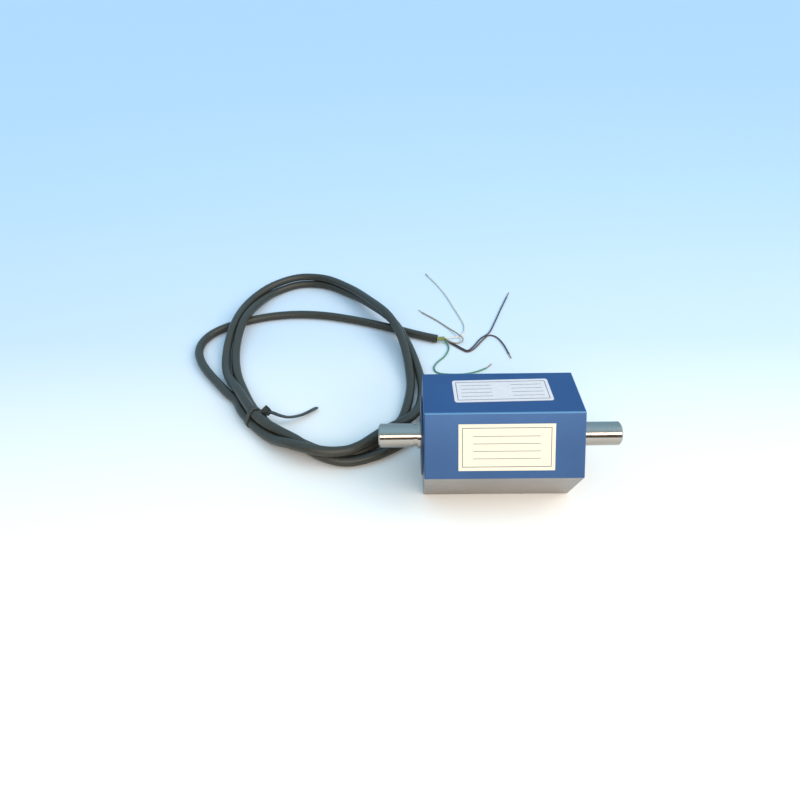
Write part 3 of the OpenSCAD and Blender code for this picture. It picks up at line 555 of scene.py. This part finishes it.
def tieHead(s):
    spot, across, along = tieFrame(s)
    turned, (offset, height) = math.radians(s["headTurn"]), s["bundle"][2]
    ahead = across * math.cos(turned) + up * math.sin(turned)
    middle = spot + across * offset + up * height + ahead * s["headReach"]
    mesh = bmesh.new()
    bmesh.ops.create_cube(mesh, size=s["head"])
    for v in mesh.verts:
        if v.co.z < 0:
            v.co.x *= s["headTaper"][0]  # the head narrows towards the strap's entry
            v.co.y *= s["headTaper"][1]
    bmesh.ops.bevel(mesh, geom=list(mesh.edges), offset=s["headBevel"], segments=2, affect="EDGES", profile=0.6)
    top = max(mesh.faces, key=lambda f: f.calc_center_median().z)
    bmesh.ops.inset_individual(mesh, faces=[top], thickness=s["mouthRim"])  # mouth of the strap's channel
    bmesh.ops.translate(mesh, verts=top.verts, vec=(0, 0, -s["mouthDepth"]))
    turn = Matrix((-ahead, along, along.cross(ahead))).transposed().to_4x4()
    mesh.transform(Matrix.Scale(mm, 4) @ Matrix.Translation(middle) @ turn)
    return meshPiece("tieHead", mesh, "tieNylon")


def toothTree():
    tree, start, end, keys = newTree("strapTeeth", [
        ("Pitch", "Float", 0.001), ("Tooth Size", "Vector", (0.0005, 0.002, 0.0002)),
        ("Lift", "Float", 0.0006), ("Roll", "Float", 0.0), ("Finish", "Material", None)])
    out = start.outputs
    curve = addNode(tree, "GeometryNodeMeshToCurve", {"Mesh": out["Geometry"]})
    steps = addNode(tree, "GeometryNodeResampleCurve", {
        "Curve": curve.outputs["Curve"], "Length": out["Pitch"]}, mode="LENGTH")
    heading = addNode(tree, "GeometryNodeInputTangent")
    turn = addNode(tree, "FunctionNodeAlignRotationToVector", {
        "Vector": heading.outputs["Tangent"]}, axis="X")
    lean = addNode(tree, "FunctionNodeAxisAngleToRotation", {"Axis": (1, 0, 0), "Angle": out["Roll"]})
    leant = addNode(tree, "FunctionNodeRotateRotation", {
        "Rotation": turn.outputs["Rotation"], "Rotate By": lean.outputs["Rotation"]}, rotation_space="LOCAL")
    tooth = addNode(tree, "GeometryNodeMeshCube", {"Size": out["Tooth Size"]})
    rise = addNode(tree, "ShaderNodeCombineXYZ", {"Z": out["Lift"]})
    raised = addNode(tree, "GeometryNodeTransform", {
        "Geometry": tooth.outputs["Mesh"], "Translation": rise.outputs[0]})
    row = addNode(tree, "GeometryNodeInstanceOnPoints", {
        "Points": steps.outputs["Curve"], "Instance": raised.outputs["Geometry"],
        "Rotation": leant.outputs["Rotation"]})
    endTree(tree, end, row.outputs["Instances"], out["Finish"])
    return tree, keys


def tieEnd(s):
    path, roll = inMetres(smoothPath(s["end"], s["endSteps"])), math.radians(s["roll"])
    sides = []
    for i in range(len(path)):
        run = (path[min(i + 1, len(path) - 1)] - path[max(i - 1, 0)]).normalized()
        sides.append(Matrix.Rotation(roll, 3, run) @ run.cross(up).normalized())
    strap = strapMesh("tieEnd", path, sides, s, False)
    tree, keys = toothTree()
    toothSize = Vector((s["toothLength"], s["width"] * s["toothShare"], s["toothHeight"])) * mm
    teeth = growMesh(polyline("tieTeeth", path[s["toothed"]]), tree, keys, {
        "Pitch": s["toothPitch"] * mm, "Tooth Size": tuple(toothSize), "Lift": s["thickness"] * 0.5 * mm,
        "Roll": roll, "Finish": finishes["tieNylon"]})
    return strap, teeth


tiePieces = [tieLoop(tieSet), tieHead(tieSet), *tieEnd(tieSet)]
for piece in tiePieces:
    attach(piece, "housing")
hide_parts("cable_tie")

print("tie fitted")


# blank ruled fields on the two labels
ruleSet = {
    "thick": 0.03, "width": 0.35, "border": 1.3,  # the border is so many times as wide as a line
    "type_label": {"axis": 0, "tilt": 0, "middle": (1, 1.75, 80.2), "turn": 1.2, "rows": 4, "pitch": 4.2,
                   "length": 22, "columns": (-18, 18), "frame": (64.5, 21)},
    "front_sticker": {"axis": 40, "tilt": 60, "middle": (1.4, -1, 40.15), "turn": 0, "rows": 4, "pitch": 5.2,
                      "length": 46, "columns": (0,), "frame": (61, 27.5)},
}


def ruleTree():
    tree, start, end, keys = newTree("ruledLines", [
        ("Rows", "Int", 4), ("Pitch", "Float", 0.004), ("Bar", "Vector", (0.02, 0.0002, 0.00002)),
        ("Finish", "Material", None)])
    out = start.outputs
    step = addNode(tree, "ShaderNodeCombineXYZ", {"Y": out["Pitch"]})
    spots = addNode(tree, "GeometryNodeMeshLine", {"Count": out["Rows"], "Offset": step.outputs[0]})
    bar = addNode(tree, "GeometryNodeMeshCube", {"Size": out["Bar"]})
    rows = addNode(tree, "GeometryNodeInstanceOnPoints", {
        "Points": spots.outputs["Mesh"], "Instance": bar.outputs["Mesh"]})
    sets = addNode(tree, "GeometryNodeInstanceOnPoints", {
        "Points": out["Geometry"], "Instance": rows.outputs["Instances"]})
    endTree(tree, end, sets.outputs["Instances"], out["Finish"])
    return tree, keys


def labelPlace(s):  # on a face that is turned round the block's axis, then from the middle of that face
    return (Matrix.Translation((0, 0, s["axis"] * mm)) @ Matrix.Rotation(math.radians(s["tilt"]), 4, "X")
            @ Matrix.Translation(Vector(s["middle"]) * mm) @ Matrix.Rotation(math.radians(s["turn"]), 4, "Z"))


def ruledFields(name, s, tree, keys):
    low = -(s["rows"] - 1) * s["pitch"] / 2
    spots = bpy.data.meshes.new(name)
    spots.from_pydata([(x * mm, low * mm, ruleSet["thick"] / 2 * mm) for x in s["columns"]], [], [])
    obj = growMesh(addObject(name, spots), tree, keys, {
        "Rows": s["rows"], "Pitch": s["pitch"] * mm, "Finish": finishes["ruleInk"],
        "Bar": (s["length"] * mm, ruleSet["width"] * mm, ruleSet["thick"] * mm)})
    obj.data.transform(labelPlace(s))
    return obj


def frameLine(name, s):  # a thin printed border
    wide, tall = (v / 2 * mm for v in s["frame"])
    line, thick = ruleSet["width"] * ruleSet["border"] * mm, ruleSet["thick"] * mm
    mesh = bmesh.new()
    loops = []
    for z in (0, thick):
        for inset in (0, line):
            loops.append([mesh.verts.new((sx * (wide - inset), sy * (tall - inset), z))
                          for sx, sy in ((-1, -1), (1, -1), (1, 1), (-1, 1))])
    lowOut, lowIn, highOut, highIn = loops
    for a, b in ((lowOut, highOut), (highOut, highIn), (highIn, lowIn), (lowIn, lowOut)):
        joinLoops(mesh, a, b)
    mesh.transform(labelPlace(s))
    return meshPiece(name, mesh, "ruleInk")


ruleNodes, ruleKeys = ruleTree()
for labelName, prefix in (("type_label", "typeLabel"), ("front_sticker", "frontSticker")):
    for piece in (ruledFields(prefix + "Rules", ruleSet[labelName], ruleNodes, ruleKeys),
                  frameLine(prefix + "Border", ruleSet[labelName])):
        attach(piece, "housing")
print("labels ruled")


# floor, world and lamps
stageSet = {
    "floor": 40.0, "floorDrop": 0.2 * mm, "floorRoughness": 0.75,
    # painted light on the floor: warm white near the front, fading to cool blue at the back, in place of the
    # lamps' spread
    "floorSpan": (-0.12, 0.7),  # from the front to the back, for the tints
    "floorPaintedLightTints": [(0.0, tint(255, 250, 245)), (0.16, tint(240, 236, 233)),
                   (0.39, tint(212, 222, 234)), (1.0, tint(205, 223, 242))],
    "softbox": {"place": (0.3, -0.88, 0.67), "aim": (0, 0, 0.04), "size": (1.7, 0.29), "power": 12.5,
                "colour": (1.0, 0.88, 0.74)},
    "key": {"place": (1.25, -0.15, 1.15), "aim": (0, 0.1, 0), "strength": 1.25, "spread": 40,
            "colour": (1.0, 0.85, 0.7)},
    # sky over the table from the front horizon over the top to the back horizon
    "sky": [(0.0, (0.10, 0.08, 0.07, 1)), (0.15, (0.14, 0.11, 0.09, 1)), (0.27, (0.48, 0.66, 0.74, 1)),
            (0.41, (0.62, 1.05, 1.36, 1)), (0.5, (0.62, 1.05, 1.40, 1)), (0.7, (0.52, 0.90, 1.18, 1)),
            (1.0, (0.42, 0.72, 0.95, 1))],
    "skyStrength": 0.9, "backdrop": tint(210, 234, 253),
}


def addFloor(s):
    mesh = bmesh.new()
    bmesh.ops.create_grid(mesh, x_segments=8, y_segments=8, size=s["floor"] / 2)
    data = bpy.data.meshes.new("floor")
    mesh.to_mesh(data)
    mesh.free()
    mat, tree, shader = newFinish("palePaper", s["floorRoughness"])
    # painted light: the floor's colour runs from warm white at the front to cool blue at the back
    depth = addRange(tree, splitCoords(tree, "Object")["Y"], 0, 1, s["floorSpan"])
    tree.links.new(addRamp(tree, depth, s["floorPaintedLightTints"]), shader.inputs["Base Color"])
    data.materials.append(mat)
    obj = addObject("floor", data)
    obj.location.z = -s["floorDrop"]


def addLamp(name, s):
    data = bpy.data.lights.new(name, "AREA" if "size" in s else "SUN")
    if "size" in s:
        data.shape, (data.size, data.size_y), data.energy = "RECTANGLE", s["size"], s["power"]
    else:  # far and wide, so that the floor stays even
        data.angle, data.energy = math.radians(s["spread"]), s["strength"]
    data.color = s["colour"]
    obj = addObject(name, data)
    obj.location = s["place"]
    obj.rotation_euler = (Vector(s["aim"]) - Vector(s["place"])).to_track_quat("-Z", "Y").to_euler()


def addWorld(s):
    world = bpy.data.worlds.new("studio")
    scene.world = world
    world.use_nodes = True
    tree = world.node_tree
    parts = splitCoords(tree, "Generated")
    front = addNode(tree, "ShaderNodeMath", {0: parts["Y"], 1: -1.0}, operation="MULTIPLY")
    angle = addNode(tree, "ShaderNodeMath", {0: parts["Z"], 1: front.outputs[0]}, operation="ARCTAN2")
    sky = addRamp(tree, addRange(tree, angle.outputs[0], 0, 1, (0, math.pi)), s["sky"])
    seen = addNode(tree, "ShaderNodeLightPath")  # a plain backdrop where no floor is in view
    shown = addNode(tree, "ShaderNodeMixRGB", {
        "Fac": seen.outputs["Is Camera Ray"], "Color1": sky, "Color2": s["backdrop"]})
    back = tree.nodes["Background"]
    back.inputs["Strength"].default_value = s["skyStrength"]
    tree.links.new(shown.outputs["Color"], back.inputs["Color"])


addFloor(stageSet)
addLamp("softbox", stageSet["softbox"])
addLamp("key", stageSet["key"])
addWorld(stageSet)
print("stage set")
